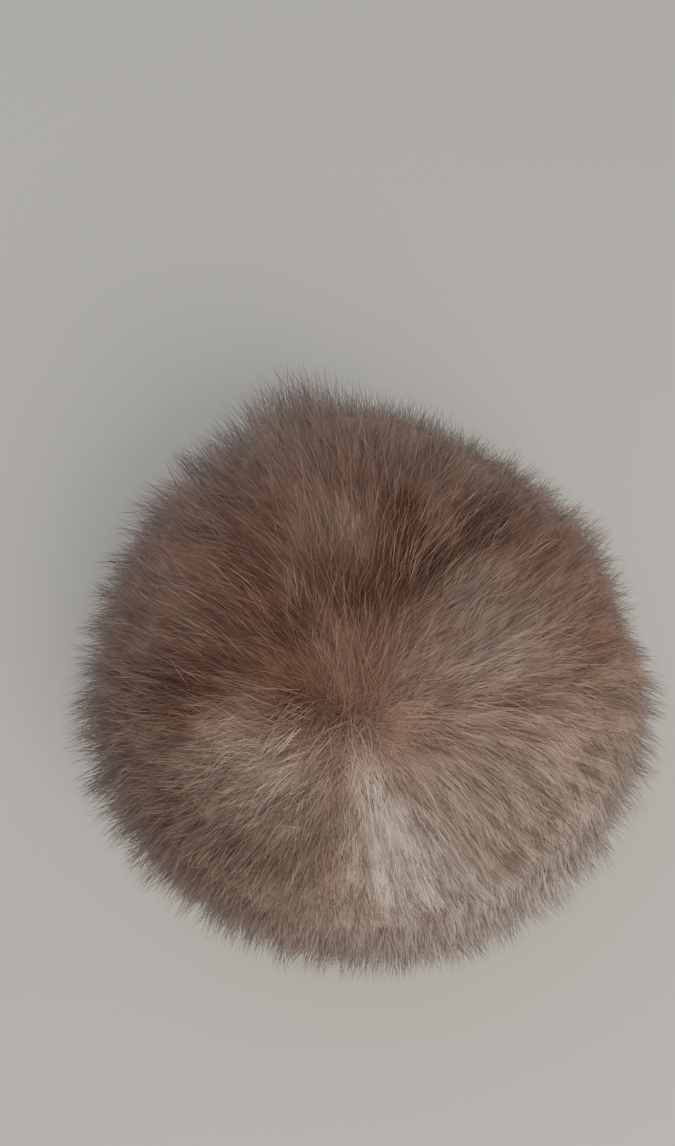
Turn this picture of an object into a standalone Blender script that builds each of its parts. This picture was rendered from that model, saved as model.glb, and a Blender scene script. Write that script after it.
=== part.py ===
"""A round long-haired fur hat: a hide crown on a hide side wall, each with its coat of fur in locks.

The hat stands on its rim, its front towards -Y and its head hollow open below.
The fur is modelled flat, as a slab of locks, and then wrapped round the hat. Across the slab lie the
azimuth and the share of the way from the whorl down to the rim, and up through it lies the depth of the fur.
"""

import math

import bmesh
import bpy
import numpy as np
from mathutils import Vector

MM = 0.001

# Hide
HEAD_RADIUS = 92.5 * MM
HIDE_THICKNESS = 2.5 * MM
WALL_HEIGHT = 108.0 * MM
WALL_BULGE = 3.0 * MM
CROWN_RISE = 24.0 * MM
CROWN_SHOULDER = 0.6
GAP = 0.3 * MM

# Fur, where a share runs from 0 at the whorl to 1 at the rim
SEAM_SHARE = 0.45
SEAM_MARGIN = 0.001
RIM_SHARE = 0.995
WHORL_SHARE = (-0.04, -0.28)
WHORL_TIP = (-6.0 * MM, -44.0 * MM)
BOW = 6.0 * MM
VALLEY_DEPTH = 0.55
LOCK_SHOULDER_DEPTH = 0.80
LOCK_SHOULDER_WIDTH = 0.62
LOCK_TIP_SPREAD = 0.12
LOCK_SWAY = 0.55
CELL_SWAY = 0.50
LIFT_ENDS_SHARE = 0.9

CROWN_CELLS = 12
SIDE_COLUMNS = 4 * CROWN_CELLS
SIDE_ROWS = 6
NEAR = 1e-6

# Where the tips of the fur end
TIPS = {
    "share": (0.00, 0.10, 0.20, 0.30, 0.40, 0.50, 0.60, 0.70, 0.80, 0.90, 1.00),
    "radius_mm": (0, 35, 70, 103, 131, 150, 160, 165, 164, 158, 147),
    "height_mm": (172, 179, 177, 169, 154, 131, 105, 79, 52, 26, 5),
}

# How far the fur reaches out, and how much taller it stands, round the hat from the right by way of the back
AROUND = {
    "azimuth_deg": (0, 30, 60, 85, 112, 138, 170, 205, 240, 275, 320),
    "reach": (0.99, 0.95, 0.92, 0.955, 1.05, 0.995, 0.985, 1.00, 1.00, 0.995, 0.98),
    "lift_mm": (0, 4, 9, 13, 18, 11, 3, 0, 0, 0, 0),
}

# Partings, where the fur lies open
PARTINGS = {
    "azimuth_deg": (78, 98, 52),
    "azimuth_width_deg": (26, 9, 10),
    "share": (0.37, 0.50, 0.50),
    "share_width": (0.045, 0.09, 0.09),
    "depth": (0.16, 0.12, 0.12),
}


def linear(hex_colour):
    """Turns an sRGB hex colour to the linear values that a shader takes."""
    channels = [int(hex_colour[i : i + 2], 16) / 255 for i in (1, 3, 5)]
    return [c / 12.92 if c <= 0.04045 else ((c + 0.055) / 1.055) ** 2.4 for c in channels] + [1.0]


def smooth_between(columns, rows, x):
    """Reads a table column at x along a smooth curve through its rows."""
    columns, rows = np.asarray(columns, float), np.asarray(rows, float)
    slopes = np.gradient(rows, columns)
    i = np.clip(np.searchsorted(columns, x) - 1, 0, len(columns) - 2)
    width = columns[i + 1] - columns[i]
    t = (x - columns[i]) / width
    rise = rows[i + 1] - rows[i]
    start, end = slopes[i] * width, slopes[i + 1] * width
    return rows[i] + t * start + t**2 * (3 * rise - 2 * start - end) + t**3 * (start + end - 2 * rise)


def smooth_around(name, azimuth):
    """Reads a column of AROUND at an azimuth in radians, closing the circle."""
    degrees = np.degrees(azimuth) % 360
    known = np.array(AROUND["azimuth_deg"])
    values = np.array(AROUND[name])
    known = np.concatenate([known[-2:] - 360, known, known[:2] + 360])
    values = np.concatenate([values[-2:], values, values[:2]])
    return smooth_between(known, values, degrees)


def crown_point(azimuth, disc, proud):
    """A point of the crown, from its place in a disc whose centre is the whorl and whose edge is the seam."""
    x = disc * np.cos(azimuth) + WHORL_SHARE[0] * (1 - disc**2)
    y = disc * np.sin(azimuth) + WHORL_SHARE[1] * (1 - disc**2)
    turn = np.minimum(np.hypot(x, y), 1) * math.pi / 2
    azimuth = np.arctan2(y, x)
    across, up = np.sin(turn), np.maximum(np.cos(turn), 0) ** CROWN_SHOULDER
    radius, height = (HEAD_RADIUS + HIDE_THICKNESS) * across, WALL_HEIGHT + CROWN_RISE * up
    slope_across = across / (HEAD_RADIUS + HIDE_THICKNESS)
    slope_up = up ** (2 / CROWN_SHOULDER - 1) / CROWN_SHOULDER / CROWN_RISE
    steep = np.hypot(slope_across, slope_up)
    radius, height = radius + proud * slope_across / steep, height + proud * slope_up / steep
    return np.stack([radius * np.cos(azimuth), radius * np.sin(azimuth), height], -1)


def wall_radius(height):
    return HEAD_RADIUS + HIDE_THICKNESS + WALL_BULGE * np.sin(math.pi * height / WALL_HEIGHT) ** 2


def root_point(azimuth, share):
    """Where the fur grows from, on the outer face of the hide."""
    crown = crown_point(azimuth, np.minimum(share / SEAM_SHARE, 1), GAP)
    height = WALL_HEIGHT * np.clip((1 - share) / (1 - SEAM_SHARE), 0, 1)
    radius = wall_radius(height) + GAP
    wall = np.stack([radius * np.cos(azimuth), radius * np.sin(azimuth), height], -1)
    return np.where((share < SEAM_SHARE)[..., None], crown, wall)


def parting_depth(azimuth, share):
    """How much the fur is shortened by the partings, as a share of its depth."""
    total = np.zeros_like(share)
    for row in zip(*PARTINGS.values()):
        middle, width, at, share_width, depth = row
        off = (np.degrees(azimuth) - middle + 180) % 360 - 180
        total += depth * np.exp(-((off / width) ** 2) - ((share - at) / share_width) ** 2)
    return total


def tip_point(azimuth, share):
    """Where the fur that grows at this place ends."""
    disc = np.minimum(share / SEAM_SHARE, 1)
    radius = smooth_between(TIPS["share"], TIPS["radius_mm"], share) * MM
    height = smooth_between(TIPS["share"], TIPS["height_mm"], share) * MM
    reach = 1 + (smooth_around("reach", azimuth) - 1) * disc
    lifted = np.sin(np.clip(share / LIFT_ENDS_SHARE, 0, 1) * math.pi)
    height = height + smooth_around("lift_mm", azimuth) * MM * lifted
    x = radius * reach * np.cos(azimuth) + WHORL_TIP[0] * (1 - disc**2)
    y = radius * reach * np.sin(azimuth) + WHORL_TIP[1] * (1 - disc**2)
    return np.stack([x, y, height], -1)


def fur_point(azimuth, share, depth):
    """A point in the fur, from the hide at depth 0 to the tips at depth 1, along a hair that bows and droops."""
    root, tip = root_point(azimuth, share), tip_point(azimuth, share)
    middle = (root + tip) / 2 + np.array([0, 0, BOW])
    along = (depth * (1 - parting_depth(azimuth, share) * depth))[..., None]
    return (1 - along) ** 2 * root + 2 * along * (1 - along) * middle + along**2 * tip


def sway(x, y, cell):
    """An irregular but repeatable shift, up to half a cell each way, the same at both ends of the slab."""
    place = 91.7 * math.cos(math.pi * x) + 57.3 * math.sin(math.pi * x) + 127.1 * y
    across, up = (math.sin(place * pitch) * 43758.5 % 1 - 0.5 for pitch in (1.0, 1.7))
    return Vector((across * cell.x, up * cell.y, 0))


def split_towards_whorl(bm, faces):
    """Splits flat square cells along the diagonal that points to the middle, so that a corner isn't cut off."""
    middles = [f.calc_center_median() for f in faces]
    for method, side in (("FIXED", 1), ("ALTERNATE", -1)):
        quarter = [f for f, middle in zip(faces, middles) if middle.x * middle.y * side > 0]
        bmesh.ops.triangulate(bm, faces=quarter, quad_method=method)


def flat_locks(columns, rows):
    """A slab of fur, laid flat: x and y from -1 to 1, z the depth, a lock standing on each cell."""
    cell = Vector((2 / columns, 2 / rows, 0))
    bm = bmesh.new()
    bmesh.ops.create_grid(bm, x_segments=columns, y_segments=rows, size=1.0)
    base = bm.faces[:]
    grown = bmesh.ops.extrude_face_region(bm, geom=base, use_keep_orig=True)["geom"]
    split_towards_whorl(bm, base)
    for vert in (v for v in grown if isinstance(v, bmesh.types.BMVert)):
        if max(abs(vert.co.x), abs(vert.co.y)) < 1 - NEAR:
            vert.co += sway(vert.co.x, vert.co.y, cell) * CELL_SWAY
        vert.co.z = VALLEY_DEPTH
    cells = [f for f in grown if isinstance(f, bmesh.types.BMFace)]
    shoulders = bmesh.ops.extrude_discrete_faces(bm, faces=cells)["faces"]
    for face in shoulders:
        middle = face.calc_center_median()
        lean = sway(middle.x, middle.y, cell) * LOCK_SWAY / 2
        for vert in face.verts:
            vert.co = middle + (vert.co - middle) * LOCK_SHOULDER_WIDTH + lean
            vert.co.z = LOCK_SHOULDER_DEPTH
    for tip in bmesh.ops.poke(bm, faces=shoulders)["verts"]:
        lean = sway(tip.co.x, tip.co.y, cell)
        tip.co += lean * LOCK_SWAY / 2
        tip.co.z = 1 - LOCK_TIP_SPREAD * abs(lean.x / cell.x + lean.y / cell.y)
    return bm


def square_to_disc(x, y):
    """Takes a square to a disc, ring by ring, as azimuth and share of the radius."""
    share = np.maximum(np.abs(x), np.abs(y))
    wide = np.abs(x) >= np.abs(y)
    safe = np.where(share > 0, share, 1)
    along = np.where(wide, y * np.sign(x), -x * np.sign(y)) / safe
    quarter = np.where(wide, np.where(x >= 0, 0, 2), np.where(y >= 0, 1, 3))
    return (quarter + along / 2) * math.pi / 2, share


def wrapped(bm, place):
    """Moves the slab's vertices to their places round the hat."""
    flat = np.array([v.co[:] for v in bm.verts])
    for vert, point in zip(bm.verts, place(flat[:, 0], flat[:, 1], flat[:, 2])):
        vert.co = point


def finished(name, bm, collection, material):
    bmesh.ops.recalc_face_normals(bm, faces=bm.faces)
    mesh = bpy.data.meshes.new(name)
    bm.to_mesh(mesh)
    bm.free()
    mesh.materials.append(material)
    made = bpy.data.objects.new(name, mesh)
    collection.objects.link(made)
    return made


def crown_fur(collection, material):
    """The coat on the crown, its locks radiating from the whorl."""
    bm = flat_locks(CROWN_CELLS, CROWN_CELLS)

    def place(x, y, depth):
        azimuth, share = square_to_disc(x, y)
        return fur_point(azimuth, share * (SEAM_SHARE - SEAM_MARGIN), depth)

    wrapped(bm, place)
    return finished("crown_fur", bm, collection, material)


def side_fur(collection, material):
    """The coat on the side wall, a strip of locks whose two ends meet."""
    bm = flat_locks(SIDE_COLUMNS, SIDE_ROWS)
    ends = [f for f in bm.faces if all(abs(v.co.x) > 1 - NEAR for v in f.verts)]
    bmesh.ops.delete(bm, geom=ends, context="FACES_ONLY")
    top, bottom = SEAM_SHARE + SEAM_MARGIN, RIM_SHARE

    def place(x, y, depth):
        share = top + (bottom - top) * (1 - y) / 2
        return fur_point(math.pi * (x + 1), share, depth)

    wrapped(bm, place)
    bmesh.ops.remove_doubles(bm, verts=bm.verts, dist=NEAR)
    return finished("side_fur", bm, collection, material)


def crown_hide(collection, material):
    """The round top panel, domed, with its edge turned down to the seam."""
    bm = bmesh.new()
    bmesh.ops.create_grid(bm, x_segments=CROWN_CELLS, y_segments=CROWN_CELLS, size=1.0)
    outer = bm.faces[:]
    grown = bmesh.ops.extrude_face_region(bm, geom=outer, use_keep_orig=True)["geom"]
    inner = [f for f in grown if isinstance(f, bmesh.types.BMFace)]
    for vert in (v for v in grown if isinstance(v, bmesh.types.BMVert)):
        vert.co.z = 1
    split_towards_whorl(bm, outer + inner)

    def place(x, y, depth):
        points = crown_point(*square_to_disc(x, y), -HIDE_THICKNESS * depth)
        points[:, 2] = np.maximum(points[:, 2], WALL_HEIGHT + GAP)
        return points

    wrapped(bm, place)
    return finished("crown_hide", bm, collection, material)


def side_hide(collection, material):
    """The side wall, turned, from the seam down to the rim that the hat stands on."""
    heights = np.linspace(WALL_HEIGHT, 0, SIDE_ROWS + 1)
    outer = [(float(wall_radius(h)), 0.0, float(h)) for h in heights]
    profile = outer + [(x - HIDE_THICKNESS, y, z) for x, y, z in reversed(outer)]
    mesh = bpy.data.meshes.new("side_hide")
    mesh.from_pydata(profile, [(i, (i + 1) % len(profile)) for i in range(len(profile))], [])
    mesh.materials.append(material)
    hide = bpy.data.objects.new("side_hide", mesh)
    collection.objects.link(hide)
    turn = hide.modifiers.new("turn", "SCREW")
    turn.steps = turn.render_steps = SIDE_COLUMNS
    turn.use_merge_vertices = True
    turn.merge_threshold = NEAR
    return hide


def plain_material(name, hex_colour, roughness):
    material = bpy.data.materials.new(name)
    material.use_nodes = True
    shader = material.node_tree.nodes["Principled BSDF"]
    shader.inputs["Base Color"].default_value = linear(hex_colour)
    shader.inputs["Roughness"].default_value = roughness
    shader.inputs["Metallic"].default_value = 0.0
    return material


def main():
    for old in list(bpy.data.objects):
        bpy.data.objects.remove(old, do_unlink=True)
    hat = bpy.data.collections.new("fur_hat")
    bpy.context.scene.collection.children.link(hat)
    side_hide(hat, plain_material("side suede", "#A48E78", 0.9))
    crown_hide(hat, plain_material("crown suede", "#A48E78", 0.9))
    side_fur(hat, plain_material("side fur", "#7F6657", 0.8))
    crown_fur(hat, plain_material("crown fur", "#9A8270", 0.8))


main()
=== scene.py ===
# %% [markdown]
# # A long-haired fur hat
#
# The hat is a round dome of long straight fur on a thin hide, seen from high in front.
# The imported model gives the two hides, which show inside the hat, and two solids that hold the outer form of
# the coat. This script keeps the hides, gives them a suede finish, and grows a real coat in place of the solids.
#
# Blender has hair curves for this, but only meshes leave with the finished part, so every hair here is a thin
# closed mesh spike, made in arrays and joined into a few pieces.

import math

import bpy
import numpy as np
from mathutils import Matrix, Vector, kdtree


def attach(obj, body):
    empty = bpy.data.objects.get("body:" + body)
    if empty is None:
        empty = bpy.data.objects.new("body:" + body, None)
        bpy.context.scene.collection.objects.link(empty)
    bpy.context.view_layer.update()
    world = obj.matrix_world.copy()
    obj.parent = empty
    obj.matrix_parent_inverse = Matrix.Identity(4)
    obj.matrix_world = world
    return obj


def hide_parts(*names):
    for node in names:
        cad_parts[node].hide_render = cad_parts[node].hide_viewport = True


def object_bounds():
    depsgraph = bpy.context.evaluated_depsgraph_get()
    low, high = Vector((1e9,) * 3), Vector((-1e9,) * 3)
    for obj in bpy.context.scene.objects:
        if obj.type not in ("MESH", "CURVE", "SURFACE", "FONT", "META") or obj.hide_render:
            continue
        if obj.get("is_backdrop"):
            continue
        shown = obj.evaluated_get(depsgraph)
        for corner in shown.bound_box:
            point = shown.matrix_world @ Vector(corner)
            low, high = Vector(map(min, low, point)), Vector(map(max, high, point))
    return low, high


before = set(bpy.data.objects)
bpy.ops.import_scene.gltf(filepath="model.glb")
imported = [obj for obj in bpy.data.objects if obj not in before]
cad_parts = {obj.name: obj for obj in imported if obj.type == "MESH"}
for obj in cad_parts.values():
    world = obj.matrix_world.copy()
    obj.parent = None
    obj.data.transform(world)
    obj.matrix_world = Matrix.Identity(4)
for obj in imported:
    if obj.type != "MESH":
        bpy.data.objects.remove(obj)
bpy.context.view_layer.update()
MM = 0.001
RANDOM_SEED = 20
RANDOM = np.random.default_rng(RANDOM_SEED)
print("nodes:", sorted(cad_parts))


# %% [markdown]
# ## Colours and nodes
#
# Colours are written as sRGB hex values, as a paint chart gives them. Shaders work in linear light, so one
# function turns them. A second one adds a node, sets it and links it. The rest build on it, which keeps each
# material short.

# %% Helpers for colours and nodes
def linear(hex_colour):
    """An sRGB hex colour in linear light, with full opacity."""
    channels = [int(hex_colour[i:i + 2], 16) / 255 for i in (1, 3, 5)]
    return [c / 12.92 if c <= 0.04045 else ((c + 0.055) / 1.055) ** 2.4 for c in channels] + [1.0]


def empty_material(name):
    """A material without nodes, and its node tree."""
    material = bpy.data.materials.new(name)
    material.use_nodes = True
    material.node_tree.nodes.clear()
    return material, material.node_tree


def add_node(tree, kind, settings=(), values=(), links=()):
    """Adds a node, sets its properties and inputs, and links sockets into it."""
    node = tree.nodes.new(kind)
    for name, value in dict(settings).items():
        setattr(node, name, value)
    for name, value in dict(values).items():
        node.inputs[name].default_value = value
    for name, socket in dict(links).items():
        tree.links.new(socket, node.inputs[name])
    return node


def ramp(tree, value, stops):
    """Turns a value into a colour, by stops of position and hex colour."""
    node = add_node(tree, "ShaderNodeValToRGB", links={"Fac": value})
    elements = node.color_ramp.elements
    while len(elements) < len(stops):
        elements.new(0.5)
    for element, (position, colour) in zip(elements, stops):
        element.position = position
        element.color = linear(colour)
    return node.outputs["Color"]


def noise(tree, where, scale, detail, values=()):
    """A soft random value at each place."""
    node = add_node(tree, "ShaderNodeTexNoise", values={"Scale": scale, "Detail": detail, **dict(values)},
                    links={"Vector": where})
    return node.outputs["Fac"]


def multiplied(tree, colour, tint):
    """One colour tinted with another."""
    node = add_node(tree, "ShaderNodeMix", {"data_type": "RGBA", "blend_type": "MULTIPLY"}, {0: 1.0},
                    {6: colour, 7: tint})
    return node.outputs[2]


def add_shader(tree, values, links=()):
    """Adds the shader that makes the finish, and the material's output."""
    shader = add_node(tree, "ShaderNodeBsdfPrincipled", values=values, links=links)
    add_node(tree, "ShaderNodeOutputMaterial", links={"Surface": shader.outputs["BSDF"]})


# %% [markdown]
# ## Camera
#
# The hat was looked at from high in front and a little to one side of its middle, from about half a metre away.
# A wide lens makes the crown, which is nearer, look larger than the rim.

# %% Camera
CAMERA_AT = Vector((0.0, -125.8, 584.6)) * MM
CAMERA_AIM = Vector((-26.9, 59.2, 80.0)) * MM
LONG_SIDE_VIEW = math.radians(65)
NEAREST_SEEN = 10 * MM

bpy.ops.object.select_all(action="DESELECT")
bpy.ops.object.camera_add(location=CAMERA_AT)
camera = bpy.context.object
camera.name = "camera"
camera.rotation_euler = (CAMERA_AIM - CAMERA_AT).to_track_quat("-Z", "Y").to_euler()
camera.data.sensor_fit = "AUTO"
camera.data.lens = camera.data.sensor_width / 2 / math.tan(LONG_SIDE_VIEW / 2)
camera.data.clip_start = NEAREST_SEEN
bpy.context.scene.camera = camera
print("lens", round(camera.data.lens, 2), "mm")

# %% [markdown]
# ## Light and floor
#
# Fur needs soft light: a hard one would draw a black line beside every hair. A broad panel in front and to the
# right lights the near half, a dim one fills the far side, and the pale surroundings do the rest.

# %% Light and floor
FLOOR_COLOUR = "#C4BFB6"
FLOOR_ROUGHNESS = 0.9
FLOOR_SIZE = 8.0  # metres, so that its edge is far off
WORLD_COLOUR = "#E9ECF0"
WORLD_STRENGTH = 0.74
PANELS = {
    # where each stands and how wide it is, in metres, and its power in watts
    "key_panel": dict(place=(0.75, -1.00, 1.15), size=1.1, power=24.0, colour="#FFF6EA"),
    "fill_panel": dict(place=(-1.1, 0.8, 1.0), size=1.4, power=5.0, colour="#EAF0FF"),
}

for name, panel in PANELS.items():
    bpy.ops.object.light_add(type="AREA", location=panel["place"])
    light = bpy.context.object
    light.name = name
    light.rotation_euler = (-Vector(panel["place"])).to_track_quat("-Z", "Y").to_euler()
    light.data.size = panel["size"]
    light.data.energy = panel["power"]
    light.data.color = linear(panel["colour"])[:3]

world = bpy.data.worlds.new("soft_room")
world.use_nodes = True
world.node_tree.nodes["Background"].inputs["Color"].default_value = linear(WORLD_COLOUR)
world.node_tree.nodes["Background"].inputs["Strength"].default_value = WORLD_STRENGTH
bpy.context.scene.world = world

bpy.ops.object.select_all(action="DESELECT")
bpy.ops.mesh.primitive_plane_add(size=FLOOR_SIZE, location=(0, 0, 0))
floor = bpy.context.object
floor.name = "floor"
# pale matt floor: takes a soft shadow and throws a little light back up under the rim
paper, tree = empty_material("pale matt floor")
add_shader(tree, {"Base Color": linear(FLOOR_COLOUR), "Roughness": FLOOR_ROUGHNESS})
floor.data.materials.append(paper)
floor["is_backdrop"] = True
print("lights:", ", ".join(PANELS))

# %% [markdown]
# ## The form of the coat
#
# Every hair stands somewhere on the hide, runs out to the coat's surface and bows a little on the way. The
# same few tables that shaped the solids say where: an azimuth round the hat, a share of the way from the whorl
# on the crown (0) down to the rim (1), and a depth in the fur from the hide (0) to the tips (1).

# %% Form of the hide and of the coat, in the model's own measures
HEAD_RADIUS = 92.5 * MM
HIDE_THICKNESS = 2.5 * MM
WALL_HEIGHT = 108.0 * MM
WALL_BULGE = 3.0 * MM
CROWN_RISE = 24.0 * MM
CROWN_SHOULDER = 0.6  # how full the crown is at its edge: 1 would be an ellipse
GAP = 0.3 * MM  # between hide and fur
SEAM_SHARE = 0.45  # where crown and side meet
WHORL_SHARE = (-0.04, -0.28)  # where the whorl is rooted, in radii from the crown's middle
WHORL_TIP = (-6.0 * MM, -44.0 * MM)  # and where its hair ends
BOW = 6.0 * MM  # how far a hair bows upwards on its way
LIFT_ENDS_SHARE = 0.9  # where the coat is no longer lifted
TIPS = {
    # the coat's outer form, from the whorl to the rim
    "share": (0.00, 0.10, 0.20, 0.30, 0.40, 0.50, 0.60, 0.70, 0.80, 0.90, 1.00),
    "radius_mm": (0, 35, 70, 103, 131, 150, 160, 165, 164, 158, 147),
    "height_mm": (172, 179, 177, 169, 154, 131, 105, 79, 52, 26, 5),
}
AROUND = {
    # how it differs round the hat: how far it reaches, and how much higher it stands
    "azimuth_deg": (0, 30, 60, 85, 112, 138, 170, 205, 240, 275, 320),
    "reach": (0.99, 0.95, 0.92, 0.955, 1.05, 0.995, 0.985, 1.00, 1.00, 0.995, 0.98),
    "lift_mm": (0, 4, 9, 13, 18, 11, 3, 0, 0, 0, 0),
}
PARTINGS = [
    # where the coat sinks in: azimuth and its width, share and its width, and by which part of its depth
    (78, 26, 0.37, 0.045, 0.16),
    (98, 9, 0.50, 0.09, 0.12),
    (52, 10, 0.50, 0.09, 0.12),
]


def smooth_between(columns, rows, x):
    """Reads a table column at x along a smooth curve through its rows."""
    columns, rows = np.asarray(columns, float), np.asarray(rows, float)
    slopes = np.gradient(rows, columns)
    i = np.clip(np.searchsorted(columns, x) - 1, 0, len(columns) - 2)
    width = columns[i + 1] - columns[i]
    t = (x - columns[i]) / width
    rise = rows[i + 1] - rows[i]
    start, end = slopes[i] * width, slopes[i + 1] * width
    return rows[i] + t * start + t**2 * (3 * rise - 2 * start - end) + t**3 * (start + end - 2 * rise)


def smooth_around(name, azimuth):
    """Reads a column of AROUND at an azimuth in radians, closing the circle."""
    known = np.array(AROUND["azimuth_deg"])
    values = np.array(AROUND[name])
    known = np.concatenate([known[-2:] - 360, known, known[:2] + 360])
    values = np.concatenate([values[-2:], values, values[:2]])
    return smooth_between(known, values, np.degrees(azimuth) % 360)


def root_point(azimuth, share):
    """Where a hair grows from, on the outer face of the hide."""
    disc = np.minimum(share / SEAM_SHARE, 1)
    x = disc * np.cos(azimuth) + WHORL_SHARE[0] * (1 - disc**2)
    y = disc * np.sin(azimuth) + WHORL_SHARE[1] * (1 - disc**2)
    turn, turned = np.minimum(np.hypot(x, y), 1) * math.pi / 2, np.arctan2(y, x)
    radius = (HEAD_RADIUS + HIDE_THICKNESS) * np.sin(turn)
    height = WALL_HEIGHT + CROWN_RISE * np.maximum(np.cos(turn), 0) ** CROWN_SHOULDER + GAP
    crown = np.stack([radius * np.cos(turned), radius * np.sin(turned), height], -1)
    height = WALL_HEIGHT * np.clip((1 - share) / (1 - SEAM_SHARE), 0, 1)
    radius = HEAD_RADIUS + HIDE_THICKNESS + WALL_BULGE * np.sin(math.pi * height / WALL_HEIGHT) ** 2 + GAP
    wall = np.stack([radius * np.cos(azimuth), radius * np.sin(azimuth), height], -1)
    return np.where((share < SEAM_SHARE)[..., None], crown, wall)


def tip_point(azimuth, share):
    """Where the hair that belongs to this place ends."""
    disc = np.minimum(share / SEAM_SHARE, 1)
    radius = smooth_between(TIPS["share"], TIPS["radius_mm"], share) * MM
    height = smooth_between(TIPS["share"], TIPS["height_mm"], share) * MM
    reach = 1 + (smooth_around("reach", azimuth) - 1) * disc
    lifted = np.sin(np.clip(share / LIFT_ENDS_SHARE, 0, 1) * math.pi)
    height = height + smooth_around("lift_mm", azimuth) * MM * lifted
    x = radius * reach * np.cos(azimuth) + WHORL_TIP[0] * (1 - disc**2)
    y = radius * reach * np.sin(azimuth) + WHORL_TIP[1] * (1 - disc**2)
    return np.stack([x, y, height], -1)


def bumps(rows, azimuth, share):
    """Sums soft round bumps: azimuth and its width in degrees, share and its width, and height."""
    total = np.zeros(np.shape(share))
    for middle, width, at, share_width, height in rows:
        off = (np.degrees(azimuth) - middle + 180) % 360 - 180
        total = total + height * np.exp(-((off / width) ** 2) - ((share - at) / share_width) ** 2)
    return total


def fur_point(azimuth, share, depth):
    """A point in the fur, along a hair that bows and droops."""
    root, tip = root_point(azimuth, share), tip_point(azimuth, share)
    middle = (root + tip) / 2 + np.array([0, 0, BOW])
    along = (depth * (1 - bumps(PARTINGS, azimuth, share) * depth))[..., None]
    return (1 - along) ** 2 * root + 2 * along * (1 - along) * middle + along**2 * tip


print("whorl tip at", np.round(fur_point(np.array(0.0), np.array(0.0), np.array(1.0)) / MM, 1), "mm")

# %% [markdown]
# ## The colouring of the coat
#
# A pelt isn't one colour. Here the coat is pale and greyish low in front, mid beige on the right, and a dark
# russet brown over the far left. Each patch is a soft round spot on the coat: how much it lightens the fur,
# and how far it turns it to russet, or with a minus sign to a cool grey. A width of 400 degrees goes all round.
# A few patches paint light and shade as well: shadow in the gap behind the whorl, shade in the clefts and at
# the rim, and warm light on the far right.
#
# Guard hair is mostly darker than the wool. A second table says where it is pale as well, which makes those
# patches look smooth.

# %% Patches of colour
PATCHES = {
    # name: azimuth, its width, share, its width, how much paler, how much more russet
    "wedge in front": (287, 11, 0.23, 0.17, 0.62, -0.12),
    "edge of the wedge": (301, 12, 0.27, 0.20, 0.26, -0.18),
    "strip beside it": (264, 9, 0.22, 0.12, -0.18, 0.02),
    "low right": (325, 26, 0.36, 0.22, 0.08, -0.06),
    "below the low right": (306, 12, 0.35, 0.12, -0.24, 0.02),
    "right": (4, 26, 0.26, 0.16, 0.17, 0.08),
    # its warmth is partly painted warm light falling from the right, and partly the fur's own russet
    "far right": (18, 24, 0.48, 0.13, -0.20, 0.40),
    "far right, low": (330, 30, 0.52, 0.14, 0.06, 0.02),
    "pale lock on the right": (26, 9, 0.22, 0.05, 0.12, -0.10),
    "mauve on the right": (33, 14, 0.29, 0.09, -0.12, -0.10),
    "mauve beside the cleft": (54, 9, 0.25, 0.05, 0.10, -0.20),
    "behind the whorl": (80, 34, 0.15, 0.09, -0.19, 0.20),
    "top right": (75, 30, 0.36, 0.14, -0.20, 0.22),
    # the cleft's arms and foot: darker hair, and painted shade where the coat sinks into the cleft
    "left arm of the cleft, dark hair and painted shade": (85, 8, 0.27, 0.06, -0.38, 0.18),
    "foot of the cleft, dark hair and painted shade": (73, 13, 0.23, 0.045, -0.40, 0.16),
    "right arm of the cleft, dark hair and painted shade": (59, 9, 0.31, 0.06, -0.44, 0.16),
    "tuft in the cleft": (71, 5, 0.29, 0.035, 0.16, 0.00),
    "pale tuft at the top": (98, 7, 0.25, 0.04, 0.12, 0.00),
    # painted shadow: darker where the crown's tips end and the next tier of fur begins, to the gap's end
    "painted shadow in the gap behind the whorl": (97, 26, 0.17, 0.045, -0.30, 0.16),
    "painted shadow at the end of the gap": (132, 18, 0.14, 0.03, -0.18, 0.20),
    "far left": (160, 38, 0.19, 0.15, -0.36, 0.34),
    "upper left": (135, 24, 0.32, 0.14, -0.18, 0.20),
    "top": (101, 14, 0.45, 0.08, 0.04, 0.10),
    "middle of the top": (100, 16, 0.33, 0.05, -0.14, 0.10),
    "upper right": (43, 16, 0.38, 0.13, -0.14, 0.15),
    # a cleft on the left: red-brown hair, and painted shade in its hollow
    "cleft on the left, red-brown and painted shade": (191, 14, 0.27, 0.08, -0.34, 0.26),
    "pale left": (204, 12, 0.20, 0.06, 0.34, -0.10),
    "low left": (230, 19, 0.17, 0.07, 0.40, -0.05),
    "dark spot low left": (245, 15, 0.30, 0.10, -0.32, -0.02),
    "left rim": (192, 60, 0.46, 0.11, -0.18, 0.27),
    "low left rim": (230, 34, 0.52, 0.14, -0.46, 0.32),
    "front rim": (278, 44, 0.50, 0.14, 0.05, -0.20),
    "rim on the right": (313, 18, 0.60, 0.11, 0.26, -0.10),
    "whorl": (0, 400, 0.05, 0.05, -0.21, 0.12),
    "middle of the whorl": (110, 400, 0.0, 0.03, -0.26, 0.14),
    "beside the whorl": (345, 60, 0.11, 0.05, -0.05, 0.08),
    "left of the whorl": (195, 30, 0.09, 0.04, -0.17, 0.08),
    # painted shade where the coat turns under at its edge, with the dark tips of the guard hair there; round the
    # whole rim the coat is greyer, and a little darker as painted shade on the lower side of the fur
    "dark tips and painted shade at the edge": (0, 400, 0.70, 0.06, -0.12, 0.05),
    "whole rim, grey with painted shade": (0, 400, 0.78, 0.20, -0.06, -0.16),
}
PALE_GUARD_HAIR = [
    # where the guard hair is pale as well as the wool, and by how much
    (288, 12, 0.26, 0.16, 0.30),
    (204, 14, 0.20, 0.07, 0.14),
    (230, 14, 0.18, 0.07, 0.12),
    (36, 20, 0.27, 0.10, 0.10),
    (4, 20, 0.26, 0.12, 0.08),
]
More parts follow.
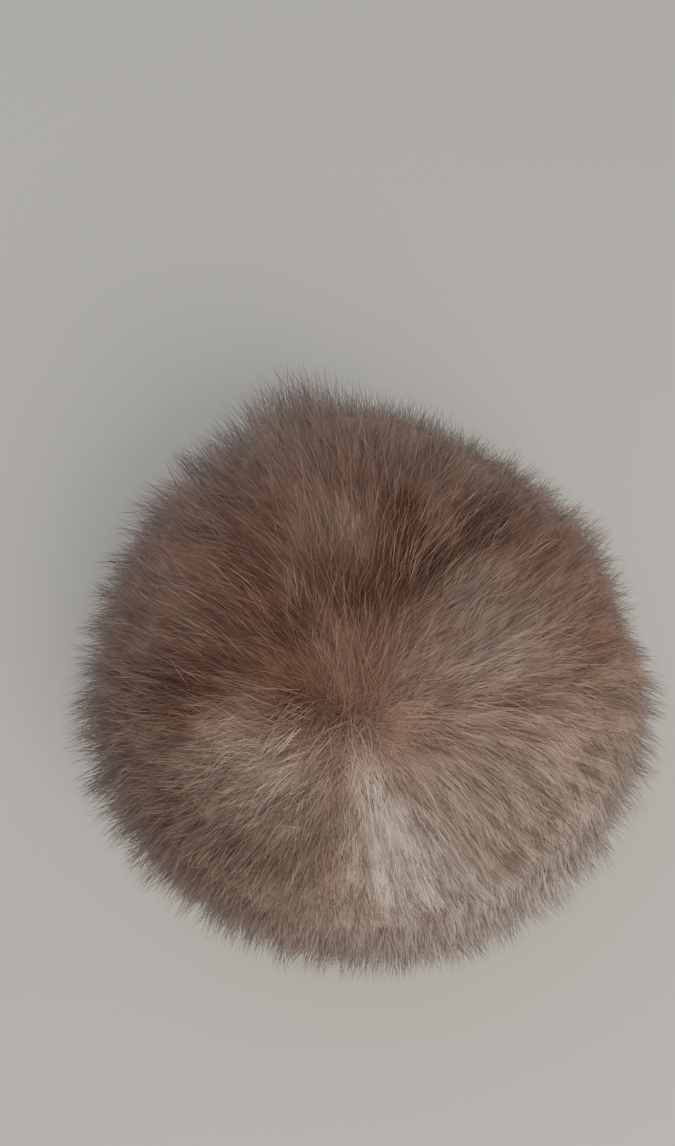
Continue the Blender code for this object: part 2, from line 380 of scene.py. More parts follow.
PALE_EVERYWHERE = 0.43
RUSSET_EVERYWHERE = 0.48


def colouring(azimuth, share):
    """How pale and how russet the coat is at a place, each from 0 to 1."""
    pale = PALE_EVERYWHERE + bumps([row[:5] for row in PATCHES.values()], azimuth, share)
    russet = RUSSET_EVERYWHERE + bumps([row[:4] + row[5:] for row in PATCHES.values()], azimuth, share)
    return pale, russet


print(len(PATCHES), "patches")

# %% [markdown]
# ## How the coat lies
#
# No two parts of a pelt lie alike. In some places the coat is pressed closer, in others single hairs and locks
# stand out, and here and there it turns aside as it runs outwards. Each table lists soft round spots again:
# azimuth and its width in degrees, share and its width, and an amount. Everywhere else, a few long waves that
# cross each other raise and lower the coat, so that it never shows a smooth dome.

# %% Tables of how the coat lies
TRIMMED = [
    # where the coat lies closer, and by which part of its length; with a minus sign it stands higher
    (285, 60, 0.75, 0.40, 0.060),
    (267, 30, 0.70, 0.40, 0.050),
    (20, 14, 0.60, 0.40, 0.100),
    (47, 12, 0.60, 0.40, -0.030),
    (74, 12, 0.60, 0.40, 0.090),
    (134, 14, 0.50, 0.35, 0.130),
    (106, 9, 0.55, 0.35, 0.040),
    (180, 26, 0.60, 0.35, 0.025),
]
SHAGGY = [
    # where single hairs and locks stand out farther, and by which part of their length
    (128, 34, 0.52, 0.25, 0.20),
    (205, 24, 0.55, 0.25, 0.09),
    (45, 28, 0.55, 0.25, 0.10),
]
COMBED = [
    # where the coat lies flat and combed: elsewhere it stands looser
    (318, 52, 0.38, 0.30, 1.0),
]
SWIRL = [
    # where the coat turns aside as it runs outwards, and by how many degrees of azimuth along one hair
    (335, 30, 0.32, 0.22, -10.0),
    (138, 28, 0.28, 0.20, 8.0),
    (60, 22, 0.30, 0.16, -3.0),
]
TUFT_WAVES = (
    # waves from whorl to rim towards the right, waves towards the back, and where they begin
    (3.1, 7.3, 0.9),
    (-5.7, 4.1, 2.2),
    (9.7, -6.1, 4.0),
    (2.3, 13.9, 5.1),
)


def tufts(azimuth, share):
    """Irregular rises and falls of the coat between -1 and 1, which close round the hat."""
    x, y = share * np.cos(azimuth), share * np.sin(azimuth)
    waves = [np.sin(math.tau * (a * x + b * y) + c) for a, b, c in TUFT_WAVES]
    return sum(waves) / len(waves)


print(len(TRIMMED), "closer places,", len(SHAGGY), "shaggy ones,", len(SWIRL), "where the coat turns aside")

# %% [markdown]
# ## Notes on the vertices
#
# A shader can't tell which part of the pelt a point belongs to, so every vertex carries that with it: how pale
# and how russet it is, and which way the coat flows there. Wool takes on its patch in full. Guard hair takes on
# a share of it only, and no more than a limit of the palest and darkest patches.

# %% Notes on the vertices
MIDDLE_PALE = 0.36  # between pale and dark patches
MOST_KEPT = 0.28  # the limit for guard hair
FLOW_STARTS = 0.06  # closer to the whorl than this share, the coat flows no way in particular


def give_numbers(mesh, name, values):
    """Notes one number on each vertex."""
    mesh.attributes.new(name, "FLOAT", "POINT").data.foreach_set("value", values.astype(np.float32))


def give_arrows(mesh, name, values):
    """Notes three numbers on each vertex."""
    noted = mesh.attributes.new(name, "FLOAT_VECTOR", "POINT")
    noted.data.foreach_set("vector", values.astype(np.float32).ravel())


def give_coat(mesh, azimuth, share, keep=1.0, dyed=1.0, tone=0.0):
    """Notes the colouring and the flow of the coat, of which a vertex keeps the given shares."""
    pale, russet = colouring(azimuth, share)
    kept = pale - MIDDLE_PALE
    if keep != 1.0:
        kept = np.clip(kept, -MOST_KEPT, MOST_KEPT)
        tone = tone + bumps(PALE_GUARD_HAIR, azimuth, share)
    give_numbers(mesh, "pale", MIDDLE_PALE + kept * keep + tone)
    give_numbers(mesh, "russet", russet * dyed)
    turned = azimuth + np.radians(bumps(SWIRL, azimuth, share))
    even = share / (share + FLOW_STARTS)
    give_arrows(mesh, "flow", np.stack([np.cos(turned) * even, np.sin(turned) * even, share], -1))


# %% [markdown]
# ## The undercoat
#
# Under the long hair lies a dense woolly undercoat, which closes every gap between the hairs. It is two closed
# skins of fine cells, one for the crown and one for the side: a grid is laid flat, given a thickness in edit
# mode, and wrapped round the hat by the form above. The crown's runs on a little below the seam and dips there
# under the side's, so that no line shows where they meet. At the rim the skin draws in.

# %% Undercoat
UNDERCOAT_DEPTH = 0.78  # of the coat's whole depth
UNDERCOAT_TUFT = 0.03  # how much the waves raise it
# painted light: the undercoat is paler than its patch to make up for the shade that falls on it between the hairs
UNDERCOAT_PAINTED_LIGHT = 0.05  # how much paler it is than its patch
CROWN_GRID = 72
SIDE_GRID = (216, 36)  # cells round the hat, and down the side
SEAM_LAP = 0.03  # how far the crown's skin runs on below the seam, as a share
SEAM_DIP = 0.04  # and which part of its depth it loses there
RIM_SHARE = 0.995  # where the side's skin ends
RIM_TUCK = 0.30  # which part of its depth it loses at the rim
RIM_TUCK_FROM = 0.90  # and from where on
CORNER_DEG = 50  # sharper edges than this stay sharp
NEAR = 1e-6  # metres, within which vertices are one
FACES_SIDEWAYS = 0.5  # how far a face must look along the slab to belong to its ends


def coordinates(mesh):
    """The places of all vertices, one to a row."""
    values = np.empty(len(mesh.vertices) * 3, np.float32)
    mesh.vertices.foreach_get("co", values)
    return values.reshape(-1, 3).astype(float)


def square_to_disc(x, y):
    """Takes a square to a disc, ring by ring, as azimuth and share of the radius."""
    share = np.maximum(np.abs(x), np.abs(y))
    wide = np.abs(x) >= np.abs(y)
    safe = np.where(share > 0, share, 1)
    along = np.where(wide, y * np.sign(x), -x * np.sign(y)) / safe
    quarter = np.where(wide, np.where(x >= 0, 0, 2), np.where(y >= 0, 1, 3))
    return (quarter + along / 2) * math.pi / 2, share


def crown_place(x, y):
    """Where a point of the flat grid goes on the crown."""
    azimuth, share = square_to_disc(x, y)
    return azimuth, share * (SEAM_SHARE + SEAM_LAP)


def side_place(x, y):
    """Where a point of the flat grid goes on the side."""
    return math.pi * (x + 1), SEAM_SHARE + (RIM_SHARE - SEAM_SHARE) * (1 - y) / 2


def flat_slab(name, columns, rows):
    """A slab one unit thick, two units wide and long, with a grid on its faces."""
    bpy.ops.object.select_all(action="DESELECT")
    bpy.ops.mesh.primitive_grid_add(x_subdivisions=columns, y_subdivisions=rows, size=2)
    slab = bpy.context.object
    slab.name = slab.data.name = name
    bpy.ops.object.mode_set(mode="EDIT")
    bpy.ops.mesh.select_all(action="SELECT")
    bpy.ops.mesh.extrude_region_move(TRANSFORM_OT_translate={"value": (0, 0, 1)})
    bpy.ops.object.mode_set(mode="OBJECT")
    return slab


def open_short_ends(slab):
    """Takes the faces off the two ends of a slab that will meet when it goes round the hat."""
    bpy.ops.object.mode_set(mode="EDIT")
    bpy.ops.mesh.select_mode(type="FACE")
    bpy.ops.mesh.select_all(action="DESELECT")
    bpy.ops.object.mode_set(mode="OBJECT")
    for face in slab.data.polygons:
        face.select = abs(face.normal.x) > FACES_SIDEWAYS
    bpy.ops.object.mode_set(mode="EDIT")
    bpy.ops.mesh.delete(type="ONLY_FACE")
    bpy.ops.mesh.select_mode(type="VERT")
    bpy.ops.object.mode_set(mode="OBJECT")
    return slab


def wrap_undercoat(slab, place, dip=0.0):
    """Moves a flat slab to its place round the hat, and notes its colouring. It may dip below the seam."""
    flat = coordinates(slab.data)
    azimuth, share = place(flat[:, 0], flat[:, 1])
    depth = flat[:, 2] * (UNDERCOAT_DEPTH + UNDERCOAT_TUFT * tufts(azimuth, share))
    tuck = np.clip((share - RIM_TUCK_FROM) / (1 - RIM_TUCK_FROM), 0, 1) ** 2
    depth = depth * (1 - bumps(TRIMMED, azimuth, share)) * (1 - RIM_TUCK * tuck)
    depth = depth * (1 - dip * np.clip((share - SEAM_SHARE) / SEAM_LAP, 0, 1))
    slab.data.vertices.foreach_set("co", fur_point(azimuth, share, depth).astype(np.float32).ravel())
    give_coat(slab.data, azimuth, share, tone=UNDERCOAT_PAINTED_LIGHT)
    bpy.ops.object.mode_set(mode="EDIT")
    bpy.ops.mesh.select_all(action="SELECT")
    bpy.ops.mesh.remove_doubles(threshold=NEAR)
    bpy.ops.mesh.normals_make_consistent(inside=False)
    bpy.ops.object.mode_set(mode="OBJECT")
    bpy.ops.object.shade_smooth_by_angle(angle=math.radians(CORNER_DEG))
    return slab


crown_undercoat = wrap_undercoat(flat_slab("crown_undercoat", CROWN_GRID, CROWN_GRID), crown_place, SEAM_DIP)
side_undercoat = wrap_undercoat(open_short_ends(flat_slab("side_undercoat", *SIDE_GRID)), side_place)
for piece in (crown_undercoat, side_undercoat):
    print(piece.name, len(piece.data.polygons), "faces")

# %% [markdown]
# ## Wool and guard hair
#
# The coat that the eye sees is of two sorts of hair. Soft wool stands thick and even, and through it reach
# fewer, longer guard hairs, straight and tapered, which gather in small pointed tufts and end in dark tips.
# Down the side both are coarser and vary more in length, which frays the outline. A few dark strands run far
# out over the crown, and a ring of short coarse hair closes the rim from below.
#
# Real hairs are finer than a picture shows, so each one drawn here stands for a few and is 0.2 to 0.4 mm
# thick, or 0.6 mm under the rim. What the numbers of a kind mean:
#
# - rings: where the rings stand along the hair, from its root at 0 to its tip at 1
# - radius_mm: half the hair's thickness at each ring
# - start, end, end_spread: how deep in the coat it begins and ends, and how much its end varies
# - rise: below 1, it climbs early and then lies down
# - laid: how much nearer to the whorl its root stands than its tip, as a share
# - tuft_hairs, gather: how many hairs make a tuft, and how far they close up towards its middle
# - tuft_lean_mm, lean_mm: how far a whole tuft and a single hair lean aside at the tip
# - tuft_spread, tuft_tone: how much tufts vary in length, and in tone
# - pale, tone: how much paler it is than its patch, and how much hairs vary in that
# - keep, dyed: how much of its patch's pale and russet it takes on; below 0, it is dark where the wool is pale
# - tip_shade: how far its tip comes on the scale of colours from root to tip

# %% Kinds of hair, and the bands they grow in
USUAL = dict(rings=(0.0, 0.55), start=(0.71, 0.77), rise=1.0, tuft_lean_mm=2.0, lean_mm=2.0, tuft_spread=0.5,
             keep=1.0, dyed=1.0, tip_shade=1.0)
KINDS = {
    "wool": USUAL | dict(
        radius_mm=(0.14, 0.13), end=0.845, end_spread=0.045, laid=0.060, tuft_hairs=12, gather=0.20,
        tuft_tone=0.03, tone=0.06, pale=0.02, tip_shade=0.62),
    "side wool": USUAL | dict(
        radius_mm=(0.20, 0.17), end=0.860, end_spread=0.075, rise=0.9, laid=0.060, tuft_hairs=10, gather=0.30,
        tuft_tone=0.03, tone=0.10, pale=0.00, tip_shade=0.75),
    "long guard": USUAL | dict(
        radius_mm=(0.09, 0.10), end=0.920, end_spread=0.045, rise=0.65, laid=0.125, tuft_hairs=5, gather=0.15,
        tuft_lean_mm=2.2, lean_mm=2.4, tuft_spread=0.4, tuft_tone=0.05, tone=0.14,
        pale=-0.22, keep=-0.25, dyed=0.75),
    "dark strand": USUAL | dict(
        radius_mm=(0.11, 0.12), start=(0.74, 0.78), end=0.930, end_spread=0.025, rise=0.65, laid=0.170,
        tuft_hairs=8, gather=0.60, tuft_lean_mm=1.5, lean_mm=0.6, tuft_tone=0.06, tone=0.05,
        pale=-0.32, keep=0.10, dyed=0.8),
    "fringe guard": USUAL | dict(
        rings=(0.0, 0.68), radius_mm=(0.14, 0.12), start=(0.60, 0.72), end=0.962, end_spread=0.095, rise=0.8,
        laid=0.090, tuft_hairs=6, gather=0.34, tuft_lean_mm=3.2, lean_mm=2.2, tuft_spread=0.9,
        tuft_tone=0.05, tone=0.14, pale=-0.28, keep=0.60, dyed=0.9),
    "under hair": USUAL | dict(
        rings=(0.0, 0.50), radius_mm=(0.32, 0.28), start=(0.05, 0.45), end=0.86, end_spread=0.050, laid=0.0,
        tuft_hairs=8, gather=0.30, lean_mm=1.5, tuft_tone=0.08, tone=0.10, pale=0.05, keep=0.60, tip_shade=0.7),
}
BANDS = {
    # name: kind, from share, to share, how many hairs, how much thicker
    "whorl_tuft": ("wool", 0.0, 0.07, 1500, 1.0),
    "whorl_wool": ("wool", 0.0, 0.32, 17000, 1.0),
    "crown_wool": ("wool", 0.32, 0.52, 14000, 1.15),
    "side_wool": ("side wool", 0.52, 0.74, 12500, 1.0),
    "rim_wool": ("side wool", 0.74, 1.0, 11500, 1.1),
    "crown_guard_hair": ("long guard", 0.11, 0.74, 16500, 1.0),
    "dark_strands": ("dark strand", 0.14, 0.60, 2000, 1.0),
    "side_guard_hair": ("fringe guard", 0.54, 0.76, 8500, 1.0),
    "rim_guard_hair": ("fringe guard", 0.76, 1.0, 7500, 1.2),
    "rim_under_hair": ("under hair", 0.985, 1.0, 3000, 1.0),
}
print(sum(band[3] for band in BANDS.values()), "hairs in", len(BANDS), "bands")

# %% [markdown]
# ## The line of a hair
#
# Each hair's tip is scattered over the coat. Its root lies nearer to the whorl, so that the coat lies down like
# thatch, and towards the tip it leans to the middle of its tuft. Then it is moved a little aside, always within
# the coat: neighbours drift together at the root, single hairs stray, and round the whorl all is tangled, as
# where the hair of a pelt parts every way. At the rim the ends hang down, but stay above the floor.

# %% Lines of hairs
AREA_STEPS = 65  # rings on which the coat's area is measured
NEAREST_WHORL = 0.002  # no hair stands nearer to the whorl than this share
SOFT_ENDS = 0.02  # how far the ends of a band stray into the next, as a share
HAIR_SPREAD = 0.8  # how much single hairs vary in length, beside their tufts
LOCK_SPREAD = 0.6  # how much the long waves of the coat vary it
LENGTHS = (0.70, 1.10)  # shortest and longest, of the coat's depth
LAID_AT_WHORL = 0.38  # no root is nearer to the whorl than its tip by more than this part of the way
UPRIGHT_SHARES = (0.50, 0.95)  # between these, hair comes to stand straight out
UPRIGHT_LAID = 0.050  # and the root is laid back no more than this
LOOSE_LAID = 0.55  # how much of its lie the hair keeps where it isn't combed
FARTHEST_LEAN = 1.8  # times the usual lean
DRIFT_WAVES = (
    # one row for x, y and z: azimuth turned by, share times, share moved by
    (1.3, 1.9, 0.4),
    (-0.9, 1.6, 0.2),
    (2.1, 1.7, 0.8),
)
LOCK_DRIFT = 9.0 * MM  # how far the roots of neighbours drift together
TUFT_STREWN = 2.5 * MM  # how far the roots of a tuft stray
HAIR_STREWN = 3.0 * MM  # and each root by itself
COMBED_STRAIGHTER = 0.65  # which part of all that is combed out
WHORL_SIZE = 0.10  # as a share
WHORL_MESS = 2.5 * MM  # how much farther tips lean at the whorl
WHORL_ROOT_MESS = 6.5 * MM  # and how far roots stray there
HANG = 10.0 * MM  # how far the ends hang down at the rim
HANG_FROM_SHARE = 0.88
LOWEST = 0.6 * MM  # no hair's middle line comes closer to the floor


def part_way(x, low, high):
    """How far x has come from low to high, from 0 to 1."""
    return np.clip((x - low) / (high - low), 0, 1)


def near_whorl(share):
    """1 at the whorl, falling softly to 0 round it."""
    return np.exp(-((share / WHORL_SIZE) ** 2))


def scattered(start, end, count):
    """Azimuths and shares spread evenly over the coat's surface between two shares."""
    grid = np.linspace(start, end, AREA_STEPS)
    ring = tip_point(np.zeros_like(grid), grid)
    steps = np.linalg.norm(np.diff(ring, axis=0), axis=1)
    radius = smooth_between(TIPS["share"], TIPS["radius_mm"], grid)
    area = np.concatenate([[0], np.cumsum(steps * (radius[1:] + radius[:-1]))])
    share = np.interp(RANDOM.random(count) * area[-1], area, grid)
    strayed = share + RANDOM.normal(0, min(SOFT_ENDS, (end - start) / 4), count)
    return RANDOM.random(count) * math.tau, np.clip(strayed, NEAREST_WHORL, 1.0)


def nearest(points, centres):
    """For each point, the number of the centre that lies nearest."""
    tree = kdtree.KDTree(len(centres))
    for i, centre in enumerate(centres):
        tree.insert(centre, i)
    tree.balance()
    return np.array([tree.find(point)[1] for point in points])


def outward_at(azimuth, share):
    """Which way the coat faces."""
    outward = tip_point(azimuth, share) - root_point(azimuth, share)
    return outward / np.linalg.norm(outward, axis=-1, keepdims=True)


def within_coat(moves, outward):
    """Takes the part of moves away that points into or out of the coat."""
    return moves - (moves * outward).sum(-1, keepdims=True) * outward


def hair_depths(kind, azimuth, share, tuft, tuft_count, stations):
    """How deep in the coat each ring and the tip of each hair lie."""
    start = RANDOM.uniform(*kind["start"], len(share))
    tuft_length = RANDOM.normal(0, kind["tuft_spread"], tuft_count)[tuft]
    varied = tuft_length + RANDOM.normal(0, HAIR_SPREAD, len(share)) + LOCK_SPREAD * tufts(azimuth, share)
    longest = LENGTHS[1] + bumps(SHAGGY, azimuth, share)
    end = kind["end"] + (kind["end_spread"] + longest - LENGTHS[1]) * varied
    length = np.clip(end, LENGTHS[0], longest) - start
    depth = start[:, None] + length[:, None] * stations ** kind["rise"]
    return depth * (1 - bumps(TRIMMED, azimuth, share))[:, None]


def laid_back(kind, share, combed, stations):
    """How much nearer to the whorl each ring of a hair lies than its tip, as a share."""
    laid = kind["laid"] * (LOOSE_LAID + (1 - LOOSE_LAID) * combed)
    laid = laid + (np.minimum(laid, UPRIGHT_LAID) - laid) * part_way(share, *UPRIGHT_SHARES)
    return np.minimum(laid, LAID_AT_WHORL * share)[:, None] * (1 - stations)


def hair_lines(kind, azimuth, share):
    """The middle lines of hairs, a point at each ring and one at the tip, and each hair's tone."""
    count = len(share)
    stations = np.array([*kind["rings"], 1.0])
    tuft_azimuth, tuft_share = scattered(share.min(), share.max(), count // kind["tuft_hairs"])
    tuft = nearest(tip_point(azimuth, share), tip_point(tuft_azimuth, tuft_share))

    # the hair's own run, from a root laid back towards the whorl to a tip gathered into its tuft
    depth = hair_depths(kind, azimuth, share, tuft, len(tuft_share), stations)
    combed = np.clip(bumps(COMBED, azimuth, share), 0, 1)
    laid = laid_back(kind, share, combed, stations)
    swirl = np.radians(bumps(SWIRL, azimuth, share))[:, None] * (1 - stations)
    gather = kind["gather"] * depth**2
    turn = (tuft_azimuth[tuft] - azimuth + math.pi) % math.tau - math.pi
    down = tuft_share[tuft] - share
    line = fur_point(
        azimuth[:, None] + turn[:, None] * gather - swirl,
        np.clip(share[:, None] + down[:, None] * gather - laid, 0.0, 1.0),
        depth,
    )

    # leaning aside at the tip
    outward = outward_at(azimuth, share)
    messy = near_whorl(share)[:, None]
    tuft_aside, root_aside = (RANDOM.normal(0, 1, (len(tuft_share), 3))[tuft] for _ in range(2))
    tuft_aside = tuft_aside.clip(-FARTHEST_LEAN, FARTHEST_LEAN)
    hair_aside = RANDOM.normal(0, 1, (count, 3)).clip(-FARTHEST_LEAN, FARTHEST_LEAN)
    lean = tuft_aside * kind["tuft_lean_mm"] * MM + hair_aside * (kind["lean_mm"] * MM + messy * WHORL_MESS)
    line = line + within_coat(lean, outward)[:, None, :] * (depth**3)[..., None]

    # strewn aside at the root
    drift = np.stack([tufts(azimuth + turned, times * share + moved) for turned, times, moved in DRIFT_WAVES], -1)
    strewn = drift * LOCK_DRIFT + root_aside * TUFT_STREWN + RANDOM.normal(0, HAIR_STREWN, (count, 3))
    strewn = strewn * (1 - COMBED_STRAIGHTER * combed)[:, None]
    strewn = within_coat(strewn + RANDOM.normal(0, WHORL_ROOT_MESS, (count, 3)) * messy, outward)
    line = line + strewn[:, None, :] * (1 - stations)[:, None]

    # hanging at the rim
    hang = HANG * part_way(share, HANG_FROM_SHARE, 1)
    line[..., 2] = np.maximum(line[..., 2] - hang[:, None] * depth**2, LOWEST)
    tone = RANDOM.normal(0, kind["tuft_tone"], len(tuft_share))[tuft] + RANDOM.normal(0, kind["tone"], count)
    return line, kind["pale"] + tone


# %% [markdown]
# ## From lines to spikes
#
# A ring of three points round the line at each station, and one point at the tip, make a spike. That is as
# plain as a closed hair can be, because it is repeated tens of thousands of times. All spikes of a band have
# the same faces, so the faces are written once and counted up for the rest. Each spike is shaded mostly as the
# coat it lies in, which keeps the fur soft, and gets a cell of its own on a map, root down and tip up, so that
# its colours can be kept as a picture.

# %% Spikes
SIDES = 3  # of a hair
SLANT = (0.31, 0.17, 0.94)  # any direction that no hair runs along
SOFT_SHADING = 0.8  # how far a hair's shading follows the coat and not its own roundness
WHORL_FINER = 0.4  # which part of its thickness a hair loses at the whorl
THICKNESS_VARIES = (0.7, 1.3)  # times the kind's own
CELL_MARGIN = 0.05  # round each hair's cell of the map
ROOT_ROOM = 0.1  # below each hair, where its root's face lies
ROOT_ON_MAP = ((0.9, 0.0), (0.5, 0.06), (0.1, 0.0))


def ring_points(line, radius):
    """The points round each ring of each hair and its tip, and which way each of them faces."""
    along = np.gradient(line, axis=1)
    along /= np.linalg.norm(along, axis=-1, keepdims=True)
    across = np.cross(along, SLANT)
    across /= np.linalg.norm(across, axis=-1, keepdims=True)
    other = np.cross(along, across)
    roll = RANDOM.random((len(line), 1, 1)) * math.tau
    angles = roll + np.arange(SIDES) * math.tau / SIDES
    facing = across[:, :-1, None] * np.cos(angles)[..., None] + other[:, :-1, None] * np.sin(angles)[..., None]
    rings = line[:, :-1, None] + facing * radius[:, :-1, None, None]
    points = np.concatenate([rings.reshape(len(line), -1, 3), line[:, -1:]], 1)
    facing = np.concatenate([facing.reshape(len(line), -1, 3), along[:, -1:]], 1)
    return points, facing


def hair_faces(rings):
    """Corners of one hair's faces: the closed root, the sides up to the last ring, and the point."""
    pairs = [(side, (side + 1) % SIDES) for side in range(SIDES)]
    firsts = [SIDES * ring for ring in range(rings)]
    root = [tuple(reversed(range(SIDES)))]
    sides = [(low + a, low + b, low + SIDES + b, low + SIDES + a) for low in firsts[:-1] for a, b in pairs]
    point = [(firsts[-1] + a, firsts[-1] + b, SIDES * rings) for a, b in pairs]
    return root + sides + point


def hair_mesh(name, points, faces):
    """Joins the hairs into one mesh of closed spikes."""
    count, per_hair = points.shape[:2]
    corners = np.concatenate([np.array(face) for face in faces])
    corners = (corners + np.arange(count)[:, None] * per_hair).ravel()
    sizes = np.tile([len(face) for face in faces], count)
    mesh = bpy.data.meshes.new(name)
    mesh.vertices.add(count * per_hair)
    mesh.vertices.foreach_set("co", points.astype(np.float32).ravel())
    mesh.loops.add(len(corners))
    mesh.loops.foreach_set("vertex_index", corners.astype(np.int32))
    mesh.polygons.add(len(sizes))
    starts = np.concatenate([[0], np.cumsum(sizes)[:-1]])
    mesh.polygons.foreach_set("loop_start", starts.astype(np.int32))
    mesh.polygons.foreach_set("use_smooth", np.ones(len(sizes), bool))
    mesh.update(calc_edges=True)
    return mesh


def chart(mesh, count, faces, rings):
    """Lays each hair in a cell of its own on the map."""
    across = math.ceil(math.sqrt(count))
    flat = list(ROOT_ON_MAP)
    for face in faces[1:]:
        side = face[0] % SIDES
        for corner in face:
            ring = corner // SIDES
            if ring == len(rings):
                flat.append(((side + 0.5) / SIDES, 1.0))
            else:
                right = corner % SIDES != side
                flat.append(((side + right) / SIDES, ROOT_ROOM + (1 - ROOT_ROOM) * rings[ring]))
    flat = np.array(flat) * (1 - 2 * CELL_MARGIN) + CELL_MARGIN
    cell = np.arange(count)
    uv = (np.stack([cell % across, cell // across], -1)[:, None, :] + flat) / across
    mesh.uv_layers.new(name="OFBake").data.foreach_set("uv", uv.astype(np.float32).ravel())


def grow_band(name, kind_name, start, end, count, thicker):
    """Grows one band of hair, from one share to another, as one piece."""
    kind = KINDS[kind_name]
    rings = kind["rings"]
    azimuth, share = scattered(start, end, count)
    line, tone = hair_lines(kind, azimuth, share)
    finer = 1 - WHORL_FINER * near_whorl(share)
    varied = RANDOM.uniform(*THICKNESS_VARIES, (count, 1))
    radius = np.array([*kind["radius_mm"], 0.0]) * MM * thicker * varied * finer[:, None]
    faces = hair_faces(len(rings))
    points, facing = ring_points(line, radius)
    mesh = hair_mesh(name, points, faces)
    facing = facing + (outward_at(azimuth, share)[:, None] - facing) * SOFT_SHADING
    facing /= np.linalg.norm(facing, axis=-1, keepdims=True)
    mesh.normals_split_custom_set_from_vertices(facing.reshape(-1, 3))
    chart(mesh, count, faces, rings)
    each = points.shape[1]
    give_numbers(mesh, "shaft", np.tile(np.append(np.repeat(rings, SIDES), 1.0), count) * kind["tip_shade"])
    give_coat(mesh, np.repeat(azimuth, each), np.repeat(share, each), kind["keep"], kind["dyed"],
              np.repeat(tone, each))
    hair = bpy.data.objects.new(name, mesh)
    bpy.context.scene.collection.objects.link(hair)
    print(name, count, "hairs,", count * sum(len(face) - 2 for face in faces), "triangles")
    return hair


bands = {name: grow_band(name, *band) for name, band in BANDS.items()}

# %% [markdown]
# ## Fur finish
#
# Long guard hair is paler at the root and dark at the tip. It is keratin, a smooth horn-like fibre, so it has
# a soft broad shine along with a velvety glow where it is seen edge on. One colour recipe serves the whole
# coat: it reads how far along the hair a point lies, how pale and how russet its patch is, and adds streaks
# that run with the flow of the coat, fine across it and long along it.
#
# The undercoat has no hairs of its own. Small clumps take the place of the way from root to tip, and a bump
# that runs with the flow gives it locks.

# %% Fur finish
KERATIN_ROUGHNESS = 0.55
KERATIN_SHINE = 0.30
VELVET_GLOW = 0.25
# colours from root to tip, and the tint of a patch from cool to russet
DARK_COAT = [(0.0, "#634F43"), (0.6, "#56443A"), (1.0, "#3A2F2A")]
PALE_COAT = [(0.0, "#E2D6CC"), (0.6, "#E0D4CA"), (1.0, "#B0A092")]
GREY_TO_RUSSET = [(0.0, "#EFEDF0"), (0.4, "#F6EAE0"), (1.0, "#F8BE9C")]
STREAKS = {
    # name: how fine round the hat, how fine from whorl to rim, how strong
    "fine": (64.0, 6.0, 0.19),
    "broad": (16.0, 5.0, 0.13),
}
LOCKS_ROUND, LOCKS_DOWN = 90.0, 14.0  # how fine round the hat, and from whorl to rim
CLUMPS_PER_METRE = 260.0


def noted(tree, name, output="Fac"):
    """What a vertex carries with it."""
    return add_node(tree, "ShaderNodeAttribute", {"attribute_name": name}).outputs[output]


def along_flow(tree, around, down, detail):
    """Noise drawn out along the flow of the coat: finer round the hat than from whorl to rim."""
    stretched = add_node(tree, "ShaderNodeMapping", values={"Scale": (around, around, down)},
                         links={"Vector": noted(tree, "flow", "Vector")})
    return noise(tree, stretched.outputs["Vector"], 1.0, detail)


def fur_colour(tree, shaft):
    """Colour along a hair, between a dark coat and a pale one, turned cool or russet."""
    pale = noted(tree, "pale")
    for around, down, strength in STREAKS.values():
        middle = add_node(tree, "ShaderNodeMath", {"operation": "SUBTRACT"}, {1: 0.5},
                          {0: along_flow(tree, around, down, 2.0)})
        added = add_node(tree, "ShaderNodeMath", {"operation": "MULTIPLY_ADD"}, {1: strength},
                         {0: middle.outputs[0], 2: pale})
        pale = added.outputs[0]
    coat = add_node(tree, "ShaderNodeMix", {"data_type": "RGBA"},
                    links={0: pale, 6: ramp(tree, shaft, DARK_COAT), 7: ramp(tree, shaft, PALE_COAT)})
    return multiplied(tree, coat.outputs[2], ramp(tree, noted(tree, "russet"), GREY_TO_RUSSET))


# long fur: keratin, half glossy, so that each hair catches a thin soft light along its length
guard_fur, tree = empty_material("long fur")
add_shader(
    tree,
    {"Roughness": KERATIN_ROUGHNESS, "Specular IOR Level": KERATIN_SHINE,
     "Sheen Weight": VELVET_GLOW, "Sheen Roughness": 0.5},
    {"Base Color": fur_colour(tree, noted(tree, "shaft"))},
)

# woolly undercoat: fine crimped wool, which scatters light and looks matt and deep
wool, tree = empty_material("woolly undercoat")
where = add_node(tree, "ShaderNodeTexCoord").outputs["Object"]
clumps = noise(tree, where, CLUMPS_PER_METRE, 5.0, {"Roughness": 0.65})
pile = add_node(tree, "ShaderNodeBump", values={"Strength": 0.4, "Distance": 1.5 * MM},
                links={"Height": along_flow(tree, LOCKS_ROUND, LOCKS_DOWN, 3.0)})
add_shader(
    tree,
    {"Roughness": 0.9, "Specular IOR Level": 0.1, "Sheen Weight": VELVET_GLOW},
    {"Base Color": fur_colour(tree, clumps), "Normal": pile.outputs["Normal"]},
)

for hair in bands.values():
    hair.data.materials.append(guard_fur)
for piece in (crown_undercoat, side_undercoat):
    piece.data.materials.append(wool)
print("materials:", guard_fur.name, "and", wool.name)

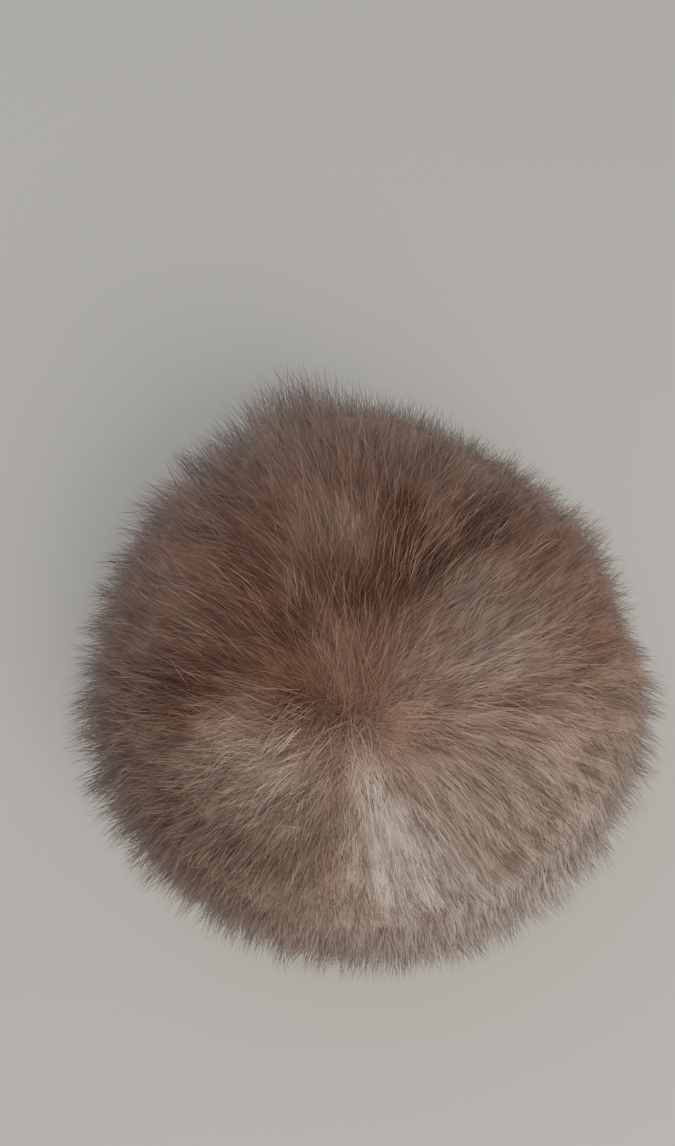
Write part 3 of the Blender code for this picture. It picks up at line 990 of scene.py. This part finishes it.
# %% [markdown]
# ## Suede finish of the hide
#
# Inside the hat shows the flesh side of the pelt: tanned, sanded suede. It is matt with a short nap, blotched
# where the tan took unevenly, and has a fine grain that is drawn a little coarser than life so that it shows.

# %% Suede finish
BLOTCH_MM = 28.0  # how wide the blotches of the tan are
NAP_MM = 0.9  # how coarse the grain is
TAN = [(0.3, "#8F7A64"), (0.5, "#A48E78"), (0.7, "#B29D87")]
NAP_SHADE = [(0.3, "#D9D2CA"), (0.7, "#FFFFFF")]

# tanned suede: a dry, sanded skin, which is matt all over with a faint bloom at its edges
suede, tree = empty_material("tanned suede")
where = add_node(tree, "ShaderNodeTexCoord").outputs["Object"]
blotches = noise(tree, where, 1000 / BLOTCH_MM, 3.0)
nap = noise(tree, where, 1000 / NAP_MM, 4.0, {"Roughness": 0.6})
grain = add_node(tree, "ShaderNodeBump", values={"Strength": 0.5, "Distance": 0.3 * MM}, links={"Height": nap})
add_shader(
    tree,
    {"Roughness": 0.92, "Specular IOR Level": 0.2, "Sheen Weight": 0.3},
    {"Base Color": multiplied(tree, ramp(tree, blotches, TAN), ramp(tree, nap, NAP_SHADE)),
     "Normal": grain.outputs["Normal"]},
)
for node in ("crown_hide", "side_hide"):
    for material_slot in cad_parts[node].material_slots:
        material_slot.material = suede
    print(node, "has a finish of", suede.name)

# %% [markdown]
# ## What each piece stands for
#
# Nothing on the hat moves, so every piece rides on its one body. The coat of the crown stands for the crown's
# solid, and the coat of the side for the side's.

STANDS_FOR = {
    # solid: its undercoat, and the bands of hair on it
    "crown_fur": (crown_undercoat, ("whorl_tuft", "whorl_wool", "crown_guard_hair", "dark_strands")),
    "side_fur": (side_undercoat, ("crown_wool", "side_wool", "rim_wool",
                                  "side_guard_hair", "rim_guard_hair", "rim_under_hair")),
}
for node, (undercoat, band_names) in STANDS_FOR.items():
    for piece in (undercoat, *(bands[name] for name in band_names)):
        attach(piece, "root")
        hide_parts(node)

dressed_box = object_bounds()
for label, low, high in zip("xyz", *dressed_box):
    print(label, round(low / MM, 1), round(high / MM, 1), "mm")
